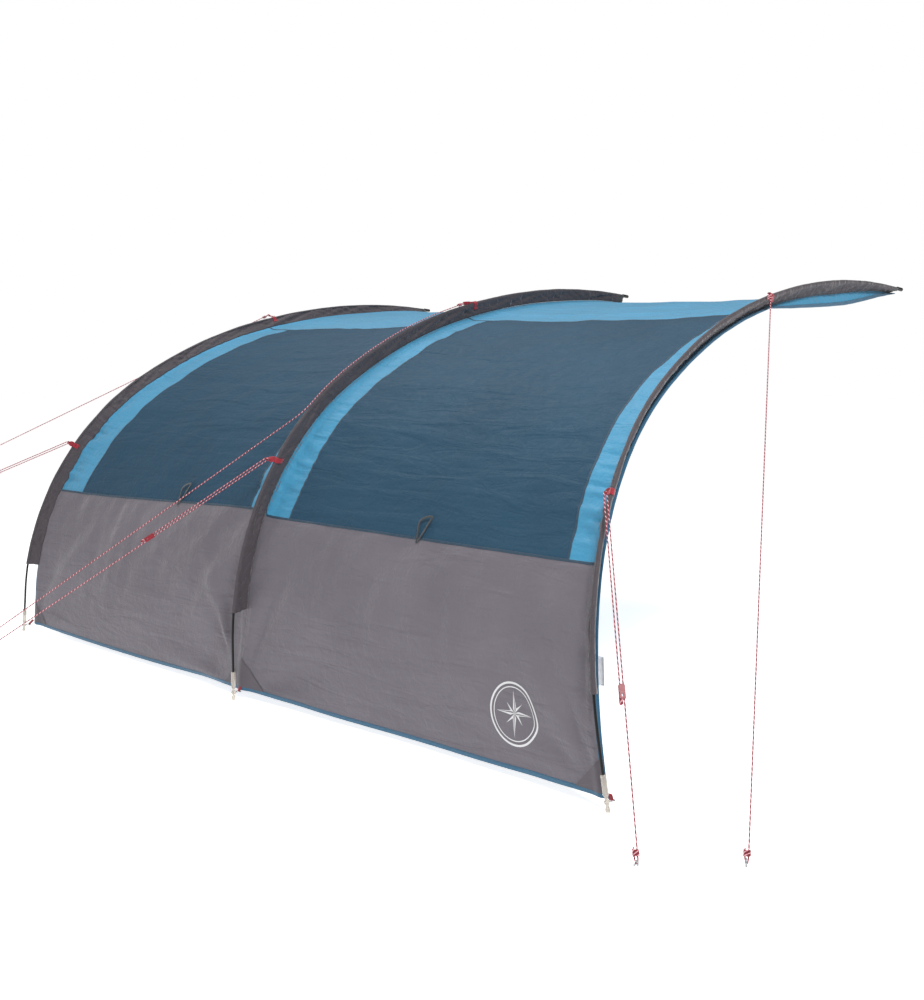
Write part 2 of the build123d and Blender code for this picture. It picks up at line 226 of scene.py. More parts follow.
class Sewing:
    """Collects grids and bands of one piece, then makes one mesh of them."""

    def __init__(self):
        self.verts, self.faces, self.uvs, self.slots = [], [], [], []

    def grid(self, columns, rows, point, slot_of=None, uv_of=None):
        start, wide = len(self.verts), len(columns)
        self.verts += [point(c, r) for r in rows for c in columns]
        for j in range(len(rows) - 1):
            for i in range(wide - 1):
                corners = ((i, j), (i + 1, j), (i + 1, j + 1), (i, j + 1))
                self.faces.append([start + b * wide + a for a, b in corners])
                places = [(columns[a], rows[b]) for a, b in corners]
                self.uvs += [uv_of(*at) for at in places] if uv_of else places
                middle = ((columns[i] + columns[i + 1]) / 2, (rows[j] + rows[j + 1]) / 2)
                self.slots.append(slot_of(*middle) if slot_of else 0)

    def band(self, path, halves, thick, slot=0, section=BAND_SECTION):
        """A flat band along a path. Each of halves is the vector from its middle to its edge."""
        start, around, run = len(self.verts), len(section), 0.0
        last = len(path) - 1
        for i, (point, half) in enumerate(zip(path, halves)):
            ahead = (path[min(i + 1, last)] - path[max(i - 1, 0)]).normalized()
            up = ahead.cross(half).normalized()
            self.verts += [point + half * a + up * (thick * b) for a, b in section]
        for i in range(last):
            step = (path[i + 1] - path[i]).length
            for k in range(around):
                n = (k + 1) % around
                ring, after = start + i * around, start + (i + 1) * around
                self.faces.append([ring + k, ring + n, after + n, after + k])
                wide = halves[i].length
                side, next_side = section[k][0] * wide, section[n][0] * wide
                self.uvs += [(run, side), (run, next_side), (run + step, next_side), (run + step, side)]
                self.slots.append(slot)
            run += step
        for ring, turn in ((start, -1), (start + last * around, 1)):
            self.faces.append([ring + k for k in range(around)][::turn])
            self.uvs += [(run, section[k][0] * 0.01) for k in range(around)][::turn]
            self.slots.append(slot)

    def mesh(self, name):
        made = bpy.data.meshes.new(name)
        made.from_pydata(self.verts, [], self.faces)
        layer = made.uv_layers.new(name="UVMap").data
        for place_uv, uv in zip(layer, self.uvs):
            place_uv.uv = uv
        for poly, slot in zip(made.polygons, self.slots):
            poly.use_smooth, poly.material_index = True, slot
        return made


def face_outward(mesh):
    """Turn a closed mesh's faces outward."""
    work = bmesh.new()
    work.from_mesh(mesh)
    bmesh.ops.recalc_face_normals(work, faces=work.faces)
    work.to_mesh(mesh)
    work.free()


print("band section has", len(BAND_SECTION), "points")

# %% [markdown]
# ## Guy line
#
# Guy line is braided polyester: a red sheath with white and dark tracer yarns that wind round it, so along
# the line they show as slanting dashes every 19 mm. The UV map has metres along the line and turns
# round it, and the dashes are two bands of its diagonal. The braid itself is a 3 mm lattice of small bumps.

# %% Guy line material
FLECK_MM, BRAID_MM = 19.0, 3.0


def guy_line_material():
    material, tree, shader = new_material("braided_polyester_guy_line")
    uv = node(tree, "ShaderNodeSeparateXYZ", in0=node(tree, "ShaderNodeTexCoord").outputs["UV"])
    turns = node(tree, "ShaderNodeMath", {"operation": "MULTIPLY_ADD"}, in0=uv.outputs[0],
                 in1=1000 / FLECK_MM, in2=uv.outputs[1])
    phase = node(tree, "ShaderNodeMath", {"operation": "FRACT"}, in0=turns.outputs[0])
    base = colour("#B00D27")
    for low, high, hex_code in ((0.0, 0.26, "#EBC3CC"), (0.50, 0.76, "#4A1020")):
        after = node(tree, "ShaderNodeMath", {"operation": "GREATER_THAN"}, in0=phase.outputs[0], in1=low)
        before = node(tree, "ShaderNodeMath", {"operation": "LESS_THAN"}, in0=phase.outputs[0], in1=high)
        both = node(tree, "ShaderNodeMath", {"operation": "MULTIPLY"}, in0=after.outputs[0],
                    in1=before.outputs[0])
        mix = node(tree, "ShaderNodeMix", {"data_type": "RGBA"}, in0=both.outputs[0], in6=base,
                   in7=colour(hex_code))
        base = mix.outputs[2]
    tree.links.new(base, shader.inputs["Base Color"])
    heights = []
    for way in (2, -2):
        along = node(tree, "ShaderNodeMath", {"operation": "MULTIPLY"}, in0=uv.outputs[0],
                     in1=2 * math.pi * 1000 / BRAID_MM)
        angle = node(tree, "ShaderNodeMath", {"operation": "MULTIPLY_ADD"}, in0=uv.outputs[1],
                     in1=2 * math.pi * way, in2=along.outputs[0])
        heights.append(node(tree, "ShaderNodeMath", {"operation": "SINE"}, in0=angle.outputs[0]).outputs[0])
    braid = node(tree, "ShaderNodeMath", {"operation": "MULTIPLY"}, in0=heights[0], in1=heights[1])
    bump = node(tree, "ShaderNodeBump", Strength=0.6, Distance=0.0005, Height=braid.outputs[0])
    tree.links.new(bump.outputs[0], shader.inputs["Normal"])
    shader.inputs["Roughness"].default_value = 0.6
    shader.inputs["Sheen Weight"].default_value = 0.3
    return material


GUY_LINE = guy_line_material()
print("guy line dashes every", FLECK_MM, "mm")

# %% [markdown]
# ## Six guy lines
#
# A guy line is tight, so its route is short: a tail, a turn round the peg, one straight run, a turn round
# the bar of its tab, and another tail. The lower lines come back doubled to a runner, which slides to
# tighten them. The middle hoop's upper line first lies down the outside of its sleeve. The rear lines
# run on to pegs further out, and end here in their tied loops. Each route is a NURBS spline through a few
# given points. A tube with UVs is then laid along that spline, because a bevelled curve has no
# map round it for the tracer yarns.

# %% Routes
CORD_D = 0.005
TURN_R = 0.0058
TAIL = 0.045
BY_TURN = 6 * CORD_D
LOWER_LINES = {"rear": ((-1.946, -1.530, 1.100), (-2.460, -1.781, 0.883), "up", "side"),
               "mid": ((-0.012, -1.574, 1.104), (-1.256, -2.624, 0.024), "up", "side"),
               "front": ((1.928, -1.534, 1.082), (2.474, -2.088, 0.026), "side", "side")}
UPPER_LINES = {"rear": ((-1.840, -0.150, 1.880), (-3.391, -1.340, 0.979), "side", "side"),
               "front": ((1.792, -0.150, 1.862), (2.719, -1.856, 0.026), "side", "side")}
RUNNER_AT = {"rear": 0.545, "mid": 0.682, "front": 0.760}
RUNNER_TAIL = 0.042
MID_UPPER_START = 2.690
MID_UPPER_RESTS = [2.560, 2.420, 2.280, 2.140, 2.000, 1.860, 1.720, 1.580, 1.440]
MID_UPPER_PEG = (-1.450, -2.540, 0.026)
BY_SLEEVE = 0.140


def line_ways(start, end):
    """Directions of a line: along it, level across it, and upright across it."""
    along = (end - start).normalized()
    side = along.cross(Vector((0, 0, 1))).normalized()
    return along, {"side": side, "up": side.cross(along).normalized()}


def line_route(start, end, tab_side, peg_side, tab_tail, rests=()):
    """Tail, turn at the peg, main run, turn at the tab, tail."""
    first_along, first_ways = line_ways(start, (*rests, end)[0])
    last_along, last_ways = line_ways((start, *rests)[-1], end)
    tab_in = start - first_along * TURN_R
    tab_out = tab_in + first_ways[tab_side] * 2 * TURN_R
    peg_in = end + last_along * TURN_R
    peg_out = peg_in + last_ways[peg_side] * 2 * TURN_R
    points = [peg_out - last_along * (TURN_R + TAIL), peg_out, peg_in, peg_in - last_along * BY_TURN]
    if rests:
        points += [rests[-1] + last_along * BY_SLEEVE, *reversed(rests)]
    points += [tab_in + first_along * BY_TURN, tab_in, tab_out]
    if tab_tail > 2 * TAIL:
        points.append(tab_out + first_along * BY_TURN)
    return [*points, tab_out + first_along * (TURN_R + tab_tail)]


def spline_points(name, points, resolution=12):
    """Points along the NURBS spline of a route."""
    data = bpy.data.curves.new(name, "CURVE")
    data.dimensions, data.resolution_u = "3D", resolution
    spline = data.splines.new("NURBS")
    spline.points.add(len(points) - 1)
    for knot_point, point in zip(spline.points, points):
        knot_point.co = (*point, 1)
    spline.order_u, spline.use_endpoint_u = 3, True
    guide = bpy.data.objects.new(name, data)
    bpy.context.collection.objects.link(guide)
    line = bpy.data.meshes.new_from_object(guide.evaluated_get(bpy.context.evaluated_depsgraph_get()))
    found = [v.co.copy() for v in line.vertices]
    bpy.data.objects.remove(guide)
    bpy.data.curves.remove(data)
    bpy.data.meshes.remove(line)
    return found


def tube(work, path, radius, sides=8):
    """A round tube along a path, with metres along it and turns round it as UV."""
    frame_up = (path[1] - path[0]).orthogonal().normalized()
    start, run, last = len(work.verts), 0.0, len(path) - 1
    runs = []
    for i, point in enumerate(path):
        ahead = (path[min(i + 1, last)] - path[max(i - 1, 0)]).normalized()
        frame_up = (frame_up - ahead * frame_up.dot(ahead)).normalized()
        across = ahead.cross(frame_up)
        turn = [2 * math.pi * k / sides for k in range(sides)]
        work.verts += [point + (frame_up * math.cos(a) + across * math.sin(a)) * radius for a in turn]
        runs.append(run)
        run += (path[min(i + 1, last)] - point).length
    for i in range(last):
        for k in range(sides):
            n = (k + 1) % sides
            work.faces.append([start + i * sides + k, start + i * sides + n,
                               start + (i + 1) * sides + n, start + (i + 1) * sides + k])
            work.uvs += [(runs[i], k / sides), (runs[i], (k + 1) / sides),
                         (runs[i + 1], (k + 1) / sides), (runs[i + 1], k / sides)]
            work.slots.append(0)
    for ring, turn in ((start, -1), (start + last * sides, 1)):
        work.faces.append([ring + k for k in range(sides)][::turn])
        work.uvs += [(0.0, k / sides) for k in range(sides)]
        work.slots.append(0)


def length_of(path):
    return sum((b - a).length for a, b in zip(path, path[1:]))


# %% Knots
KNOT_TURNS, TURN_STEPS = 4, 14


def knot_wraps(work, centre, along, across, spread=TURN_R):
    """Turns of the line's own tail, wound round its two strands."""
    up = along.cross(across)
    path = []
    for i in range(KNOT_TURNS * TURN_STEPS + 1):
        turn = 2 * math.pi * i / TURN_STEPS
        slide = (i / TURN_STEPS - KNOT_TURNS / 2) * CORD_D * 1.02
        squeeze = 1 - 0.18 * math.cos(turn * 0.5) ** 2
        path.append(centre + along * slide + across * math.cos(turn) * (spread + CORD_D) * squeeze
                    + up * math.sin(turn) * CORD_D * 1.1)
    tube(work, path, CORD_D / 2, 6)
    over_the_top = [centre - along * 0.010 + across * spread + up * 0.004,
                    centre + across * 0.004 + up * 0.0075,
                    centre + along * 0.011 - across * spread + up * 0.004]
    tube(work, over_the_top, CORD_D / 2, 6)


# %% Make the lines
PEG_KNOT, TAB_KNOT, RUNNER_KNOT = 0.028, 0.030, 0.008     # how far along its line each knot sits


def make_line(name, ends, tab_tail, rests=(), runner=None):
    start, end, tab_side, peg_side = Vector(ends[0]), Vector(ends[1]), ends[2], ends[3]
    path = spline_points(f"{name}_guide", line_route(start, end, tab_side, peg_side, tab_tail, rests))
    work = Sewing()
    tube(work, path, CORD_D / 2)
    piece = add_object(f"{name}_braid", work.mesh(f"{name}_braid"), GUY_LINE)
    knots = Sewing()
    first_along, first_ways = line_ways(start, (*rests, end)[0])
    last_along, last_ways = line_ways((start, *rests)[-1], end)
    peg_knot = end + last_ways[peg_side] * TURN_R - last_along * PEG_KNOT
    knot_wraps(knots, peg_knot, last_along, last_ways[peg_side])
    tab_centre = start + first_ways[tab_side] * TURN_R
    if runner:
        knot_wraps(knots, path[-1] - first_along * RUNNER_KNOT, first_along, first_ways[tab_side], 0.0)
    else:
        knot_wraps(knots, tab_centre + first_along * TAB_KNOT, first_along, first_ways[tab_side])
    knot_piece = add_object(f"{name}_knots", knots.mesh(f"{name}_knots"), GUY_LINE)
    for made in (piece, knot_piece):
        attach(made, "tent")
    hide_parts(name)
    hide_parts("guy_knots")
    print(name, "length", round(length_of(path), 3), "m,", len(path), "points")
    return tab_centre, first_along, first_ways[tab_side]


TABS = []
for tag, share in (("rear", -1), ("mid", 0), ("front", 1)):
    lower_end = make_line(f"{tag}_lower_line", LOWER_LINES[tag], RUNNER_AT[tag] + RUNNER_TAIL,
                          runner=f"{tag}_runner")
    TABS.append((share, LOWER_TAB, *lower_end))
    if tag != "mid":
        upper_end = make_line(f"{tag}_upper_line", UPPER_LINES[tag], TAIL)
        TABS.append((share, UPPER_TAB, *upper_end))
mid_rests = [on_hoop(0, at, 0.015) for at in MID_UPPER_RESTS]
mid_start = on_hoop(0, MID_UPPER_START, 0.017, 0.002)
mid_ends = (mid_start, MID_UPPER_PEG, "side", "side")
TABS.append((0, UPPER_TAB, *make_line("mid_upper_line", mid_ends, TAIL, mid_rests)))

# %% [markdown]
# ## Coated polyester cloth
#
# Tent cloth is a thin plain weave of polyester, rolled flat and coated on the back. It has a soft sheen,
# threads about half a millimetre apart, and a fine crinkle from being packed. Threads that thin can't
# show at this distance, so they are drawn 1.5 mm apart. The pattern reads the piece's own UV map, which
# is in metres along the hem and up the hoop, so threads follow the curve of the roof.

# %% Cloth material
BAND_TURN = 2 * math.pi / 20      # a wave texture's scale that puts its bands 1 m apart
THREAD_MM = 1.5
CRINKLE_MM = 45.0
PULL_MM = (420.0, 75.0)           # slanting pulls in taut cloth, long and narrow


def cloth_material(name, hex_code, roughness=0.62, sheen=0.25, crinkle=0.70, drift=0.07):
    material, tree, shader = new_material(name)
    uv = node(tree, "ShaderNodeTexCoord").outputs["UV"]
    waves = []
    for direction in ("X", "Y"):
        wave = node(tree, "ShaderNodeTexWave", {"bands_direction": direction}, Vector=uv,
                    Scale=BAND_TURN * 1000 / THREAD_MM, Distortion=0.4, Detail=1.0)
        waves.append(wave.outputs["Fac"])
    weave = node(tree, "ShaderNodeMath", {"operation": "MULTIPLY"}, in0=waves[0], in1=waves[1])
    fine = node(tree, "ShaderNodeTexNoise", Vector=uv, Scale=1000 / CRINKLE_MM, Detail=5.0, Roughness=0.62,
                Distortion=0.9)
    broad = node(tree, "ShaderNodeTexNoise", Vector=uv, Scale=2.2, Detail=3.0)
    fade = node(tree, "ShaderNodeMapRange", Value=broad.outputs["Fac"], in1=0.3, in2=0.7,
                in3=1 - drift, in4=1 + drift)
    tone = node(tree, "ShaderNodeHueSaturation", Color=colour(hex_code), Value=fade.outputs[0])
    tree.links.new(tone.outputs[0], shader.inputs["Base Color"])
    rough = node(tree, "ShaderNodeMapRange", Value=fine.outputs["Fac"], in1=0.3, in2=0.7,
                 in3=roughness - 0.06, in4=roughness + 0.08)
    tree.links.new(rough.outputs[0], shader.inputs["Roughness"])
    threads = node(tree, "ShaderNodeBump", Strength=0.25, Distance=0.0003, Height=weave.outputs[0])
    slanting = node(tree, "ShaderNodeMapping", Vector=uv, Rotation=(0, 0, math.radians(28)),
                    Scale=(1000 / PULL_MM[0], 1000 / PULL_MM[1], 1))
    pulled = node(tree, "ShaderNodeTexNoise", Vector=slanting.outputs[0], Scale=1.0, Detail=3.0,
                  Distortion=0.8)
    pulls = node(tree, "ShaderNodeBump", Strength=crinkle, Distance=0.020, Height=pulled.outputs["Fac"],
                 Normal=threads.outputs[0])
    creases = node(tree, "ShaderNodeBump", Strength=crinkle, Distance=0.008, Height=fine.outputs["Fac"],
                   Normal=pulls.outputs[0])
    tree.links.new(creases.outputs[0], shader.inputs["Normal"])
    shader.inputs["Sheen Weight"].default_value = sheen
    shader.inputs["Sheen Roughness"].default_value = 0.4
    shader.inputs["Specular IOR Level"].default_value = 0.35
    return material


GREY = cloth_material("grey_coated_polyester", "#6B666E")
NAVY = cloth_material("navy_coated_polyester", "#1E445B", roughness=0.7, sheen=0.05)
LIGHT_BLUE = cloth_material("light_blue_coated_polyester", "#408FB5", roughness=0.55)
SLEEVE_CLOTH = cloth_material("dark_grey_sleeve_polyester", "#484348", crinkle=0.8)
PATCH_CLOTH = cloth_material("reinforcement_polyester", "#5A555C", crinkle=0.2)
PRINT = cloth_material("white_screen_print", "#D8D8DA", sheen=0.05, crinkle=0.15, drift=0.03)
print("cloth materials", [m.name for m in bpy.data.materials if "polyester" in m.name])


# %% [markdown]
# ## Woven tape and webbing
#
# Binding tape and webbing are narrow weaves with thick threads, so their ribs do show. The ribs run
# across the band. Real ones are about 1.2 mm apart. They are drawn 2.4 mm apart, because finer ones
# don't show at this distance. Their colour is painted darker in the rib valleys and lighter on the crests,
# as painted shade and highlight.

# %% Tape material
RIB_MM = 2.4


def tape_material(name, hex_code, roughness=0.7, sheen=0.3):
    material, tree, shader = new_material(name)
    uv = node(tree, "ShaderNodeTexCoord").outputs["UV"]
    rib = node(tree, "ShaderNodeTexWave", {"bands_direction": "X"}, Vector=uv,
               Scale=BAND_TURN * 1000 / RIB_MM, Distortion=0.6, Detail=1.0, Detail_Scale=2.0)
    worn = node(tree, "ShaderNodeTexNoise", Vector=uv, Scale=60.0, Detail=3.0)
    # painted shade and highlight: the rib valleys are coloured darker and the crests lighter, from the same
    # rib height as the bump
    painted_rib_shade = node(tree, "ShaderNodeMapRange", Value=rib.outputs["Fac"], in3=0.82, in4=1.06)
    wear = node(tree, "ShaderNodeMapRange", Value=worn.outputs["Fac"], in1=0.3, in2=0.7, in3=0.92, in4=1.08)
    both = node(tree, "ShaderNodeMath", {"operation": "MULTIPLY"}, in0=painted_rib_shade.outputs[0],
                in1=wear.outputs[0])
    tone = node(tree, "ShaderNodeHueSaturation", Color=colour(hex_code), Value=both.outputs[0])
    tree.links.new(tone.outputs[0], shader.inputs["Base Color"])
    bump = node(tree, "ShaderNodeBump", Strength=0.5, Distance=0.0006, Height=rib.outputs["Fac"])
    tree.links.new(bump.outputs[0], shader.inputs["Normal"])
    shader.inputs["Roughness"].default_value = roughness
    shader.inputs["Sheen Weight"].default_value = sheen
    return material


BLUE_TAPE = tape_material("woven_blue_binding_tape", "#236080")
RED_WEBBING = tape_material("woven_red_webbing", "#9C0E25")
BLACK_WEBBING = tape_material("woven_black_webbing", "#1D2429")
LIGHT_TAPE = tape_material("woven_light_blue_binding_tape", "#3F8DB3")
LABEL = tape_material("white_care_label_satin", "#DCE0E6", roughness=0.5)
THREAD = tape_material("polyester_sewing_thread", "#4A464C")
print("tape materials made")

# %% [markdown]
# ## The sheet
#
# Each bay is one sewn sheet, not flat panels: the grey, navy and light blue cuts are faces of one curved
# mesh, and the cuts' borders are rows of it. Cloth pulled between two hoops sags inward half way. Its lower
# edge bows down a little, its far edge draws in, and it creases where it is pulled: fans at the corners,
# small puckers across the borders above the seam, long faint ones in the navy panel. A formula with
# seeded noise gives all of this in one pass, and it looks the same every time.

# %% The sheet's shape
SAG = 0.034
HEM_RISE, FAR_RISE = -0.016, 0.055
TIP_LIFT = 0.046
RIDGE_AT, RIDGE_LIFT = 0.030, 0.008     # an end hoop's sleeve pulls the sheet up this far from its edge
RIDGE_WIDE = 0.022                      # over about this width
MID_LIFT = 0.012                        # and the middle one's right at its seam
CHORD_BOW = 0.245                       # past the upper tab the open edge is a straight string to the tip
CHORD_REACH = RIDGE_AT + 0.012          # the string pulls in this much of the sheet beside it
CORNER_IN = 0.020                       # how far inside the front foot the sheet's corner is
EDGE_BACK, FOOT_BACK = 0.022, 0.012     # how far back an open edge is, and how much less at that foot
MOUTH_DEEPER, MOUTH_SPAN = 0.012, 0.25  # by the middle hoop the sheet is deeper at the sleeve's mouth
FOOT_SHALLOWER, MID_SHARE = 0.028, 0.2  # and shallower at the foot, over this share of the bay
SEAM_RISE = {"rear": 0.045, "front": 0.014}     # each wall is cut higher towards the middle hoop
ROW_STEP, PUCKER_STEP, COLUMN_STEP = 0.017, 0.008, 0.0155
FAR_STEP, EDGE_ZONE, EDGE_STEP = 0.019, 0.060, 0.006     # rows past the window, columns by an open edge
PUCKER_ROWS = 0.5                       # the finer rows go this far above the seam
CLOTH_THICK = 0.0010

# %% How high each kind of crease stands, in metres
BROAD_WAVE = 0.009
NAVY_RIPPLE, NAVY_CROSS = 0.0066, 0.0050
WALL_SLANT, WALL_UPRIGHT, WALL_FOLD = 0.0150, 0.0065, 0.0105
PUCKER, FAN = 0.0190, 0.0100


def smooth(low, high, value):
    t = min(1.0, max(0.0, (value - low) / (high - low)))
    return t * t * (3 - 2 * t)


def bow(u):
    """0 at both hoops and 1 half way between them."""
    return 4 * u * (1 - u)


def crease(share, u, length):
    """How far the cloth stands out from its plain surface, in metres."""
    along, seed = share * BAY, 7.3 if share > 0 else 19.1
    near = min(u, 1 - u) * BAY
    free = smooth(0.0, 0.12, near)
    wall = smooth(0.10, 0.5, length) * (1 - smooth(0.84, 0.90, length))
    window = smooth(0.89, 1.0, length)
    lift = BROAD_WAVE * noise.noise(Vector((along * 1.7, length * 1.4, seed))) * free
    # long faint ones along the navy cloth and the roof
    ripple = noise.noise(Vector((along * 0.9, length * 9.0, seed + 2)))
    cross = noise.noise(Vector((along * 3.0 + length * 3.5, along * 6.0 - length * 5.0, seed + 3)))
    lift += (NAVY_RIPPLE * ripple + NAVY_CROSS * cross) * free * window
    # slanting ones in the wall, from the seam down towards the feet
    slant = noise.noise(Vector((along * 6.0 - length * 4.0, length * 1.3, seed + 5)))
    upright = noise.noise(Vector((along * 11.0, length * 1.6, seed + 6)))
    folds = noise.noise(Vector((along * 2.2 + length * 5.0, along * 5.0 - length * 7.5, seed + 7)))
    pulls = WALL_SLANT * slant + WALL_UPRIGHT * upright + WALL_FOLD * folds
    lift += pulls * wall * smooth(0.0, 0.05, near)
    # puckers across the borders, just above the seam
    border = 1 - smooth(0.07, 0.24, near)
    pucker = noise.noise(Vector((along * 4.0, length * 30.0 + along * 3.0, seed + 9)))
    fading = 1 - 0.75 * smooth(1.0, 1.7, length)
    puckered = PUCKER * pucker * border * window * fading
    lift += puckered * smooth(0.0, 0.04, near) * (1 - smooth(2.4, 2.7, length))
    # fans at the corners of the hem
    for corner in (0.0, 1.0):
        dx, dz = abs(u - corner) * BAY, length - HEM_LOW
        reach = math.hypot(dx, dz)
        if 0.001 < reach < 1.0:
            angle = math.atan2(dz, dx)
            fan = math.sin(angle * 9 + 4 * noise.noise(Vector((angle * 2, seed, corner * 5))))
            fanned = FAN * fan * smooth(0.1, 0.30, reach) * (1 - smooth(0.25, 1.0, reach))
            lift += fanned * smooth(0.0, 0.05, near)
    return lift


def chord_depth(length):
    """How far a straight edge from the upper tab to the tip lies inside the curved pole."""
    t = (length - UPPER_TAB) / (ROOF_END - UPPER_TAB)
    return 0.0 if t < 0 else CHORD_BOW * t * (1 - t)


def corner_pull(share, length):
    """1 at the front foot, 0 from the sleeve up and in the bay."""
    return (1 - smooth(HEM_LOW, SLEEVE_START + 0.15, length)) * smooth(0.8, 1.0, share)


def cloth_offset(share, length, plain=False):
    """Outward offset of the sheet from the hoop's line."""
    u = share + 1 if share <= 0 else share
    end = abs(share)
    from_end, from_mid = (1 - end) * BAY, end * BAY
    sag = SAG * bow(u) * (0.12 + 0.88 * smooth(0.1, 1.6, length))
    ridge = RIDGE_LIFT * math.exp(-((from_end - RIDGE_AT) / RIDGE_WIDE) ** 2)
    lift = TIP_LIFT * smooth(3.45, 4.12, length) * (0.35 + 0.25 * end)
    lift += MID_LIFT * (1 - smooth(0.0, 0.06, from_mid))
    edge = chord_depth(length) * (1 - smooth(0.0, CHORD_REACH, from_end))
    skin = SKIN_MID + (SKIN_END - SKIN_MID) * end
    skin += (CORNER_IN - SKIN_END) * corner_pull(share, length)
    if end < MID_SHARE:
        deeper = MOUTH_DEEPER * math.exp(-((length - SLEEVE_START) / MOUTH_SPAN) ** 2)
        shallower = FOOT_SHALLOWER * (1 - smooth(HEM_LOW, SLEEVE_START, length))
        skin += (deeper - shallower) * (1 - smooth(0.0, MID_SHARE, end))
    return -skin - sag + lift + ridge - edge + (0 if plain else crease(share, u, length))


def cloth_length(share, length):
    """Rows near the two free edges follow the edge's own curve."""
    u = share + 1 if share <= 0 else share
    rise = HEM_RISE * bow(u) * (1 - smooth(HEM_LOW, SEAM * 0.8, length))
    fall = FAR_RISE * bow(u) * smooth(WINDOW_TOP, ROOF_END, length)
    cut = SEAM_RISE["rear" if share <= 0 else "front"] * smooth(0.0, 1.0, 1 - abs(share))
    rise += cut * smooth(HEM_LOW, SEAM, length) * (1 - smooth(SEAM, WINDOW_TOP, length))
    return length + rise - fall


def on_cloth(share, length, lift=0.0):
    """A point of the sheet, lifted off its outside."""
    back = EDGE_BACK * smooth(0.8, 1.0, abs(share)) - FOOT_BACK * corner_pull(share, length)
    held = share - math.copysign(back / BAY, share)
    return on_hoop(held, cloth_length(share, length), cloth_offset(share, length) + lift)


def marks(stops, steps):
    """Values from the first stop to the last, that land on every stop."""
    values = [stops[0]]
    for low, high, step in zip(stops, stops[1:], steps):
        count = max(1, round((high - low) / step))
        values += [low + (high - low) * i / count for i in range(1, count + 1)]
    return values


def solidify(piece, thickness, offset=-1.0):
    mod = piece.modifiers.new("thickness", "SOLIDIFY")
    mod.thickness, mod.offset, mod.use_even_offset = thickness, offset, False


# %% Make the two bays
def cut_of(share, length):
    """Which cut of cloth a place belongs to: 0 grey, 1 navy, 2 light blue."""
    u = share + 1 if share <= 0 else share
    if length < SEAM:
        return 0
    near, far = BORDERS["rear" if share <= 0 else "front"]
    return 1 if length < WINDOW_TOP and near < u < 1 - far else 2


def make_bay(name, start):
    edge = EDGE_ZONE / BAY
    near, far = BORDERS[name]
    columns = marks([start, start + edge, start + near, start + 1 - far, start + 1 - edge, start + 1],
                    [EDGE_STEP / BAY, *[COLUMN_STEP / BAY] * 3, EDGE_STEP / BAY])
    rows = marks([HEM_LOW, SEAM, SEAM + PUCKER_ROWS, WINDOW_TOP, ROOF_END],
                 [ROW_STEP, PUCKER_STEP, ROW_STEP, FAR_STEP])
    work = Sewing()
    work.grid(columns, rows, on_cloth, cut_of, lambda s, l: (s * BAY, l))
    mesh = work.mesh(f"{name}_bay_cloth")
    piece = add_object(f"{name}_bay_cloth", mesh, GREY, NAVY, LIGHT_BLUE)
    solidify(piece, CLOTH_THICK)
    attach(piece, "tent")
    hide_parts(*[f"{name}_bay_{part}" for part in
                         ("wall", "window", "border_rear", "border_front", "roof")])
    return piece


make_bay("rear", -1.0)
make_bay("front", 0.0)

# %% [markdown]
# ## Felled seams
#
# Where two cuts meet, their edges are folded into each other and sewn flat. The fold is a low ridge
# about 10 mm wide with a shadow on each side, which is what draws the line between the colours.

# %% Felled seams
SEAM_HALF, SEAM_RIDGE = 0.006, 0.0014
SEAM_PROFILE = [(-1.0, 0.0), (-0.8, 0.9), (-0.3, 1.0), (0.3, 0.8), (0.8, 0.9), (1.0, 0.0)]


def level_seam(work, start, end, length):
    """A ridge along the bay."""
    heights = dict((round(length + a * SEAM_HALF, 5), b * SEAM_RIDGE) for a, b in SEAM_PROFILE)
    work.grid(marks([start, end], [COLUMN_STEP / BAY]), list(heights),
              lambda s, l: on_cloth(s, l, heights[l] + 0.0002), uv_of=lambda s, l: (s * BAY, l - length))


def upright_seam(work, share, low, high):
    """A ridge up the hoops' way."""
    heights = dict((round(share + a * SEAM_HALF / BAY, 6), b * SEAM_RIDGE) for a, b in SEAM_PROFILE)
    work.grid(list(heights), marks([low, high], [0.012]), lambda s, l: on_cloth(s, l, heights[s] + 0.0002),
              uv_of=lambda s, l: (l, (s - share) * BAY))


def make_seams(name, start):
    work = Sewing()
    level_seam(work, start, start + 1, SEAM)
    level_seam(work, start, start + 1, WINDOW_TOP)
    for share in (start + BORDERS[name][0], start + 1 - BORDERS[name][1]):
        upright_seam(work, share, SEAM, WINDOW_TOP)
    piece = add_object(f"{name}_felled_seams", work.mesh(f"{name}_felled_seams"), SEAM_CLOTH)
    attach(piece, "tent")
    print(name, "seams", len(work.faces), "faces")


def make_joint_tape():
    """Inside the middle hoop a tape covers the seam that joins the two bays and the sleeve."""
    work = Sewing()
    path = [on_cloth(0.0, length, -0.004) for length in marks([HEM_LOW, ROOF_END], [0.016])]
    work.band(path, [Vector((JOINT_HALF, 0, 0))] * len(path), 0.0016)
    piece = add_object("mid_joint_tape", work.mesh("mid_joint_tape"), GREY)
    face_outward(piece.data)
    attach(piece, "tent")
    print("joint tape", len(work.faces), "faces")


JOINT_HALF = 0.016
SEAM_CLOTH = cloth_material("seam_polyester", "#2A4558", crinkle=0.6)
make_seams("rear", -1.0)
make_seams("front", 0.0)
make_joint_tape()

# %% [markdown]
# ## Binding tape
#
# The open edges are bound: a tape folded over the edge and sewn through. It is a band with real
# thickness that follows the sheet's edge, pulled a little wavy by its stitches.

# %% Hem and edge tapes
TAPE_HALF, TAPE_THICK = 0.0095, 0.0034
EDGE_HALF, EDGE_OUT = 0.011, -0.006


def tape_wave(along, seed):
    return 0.0011 * noise.noise(Vector((along * 14, seed, 0.5)))


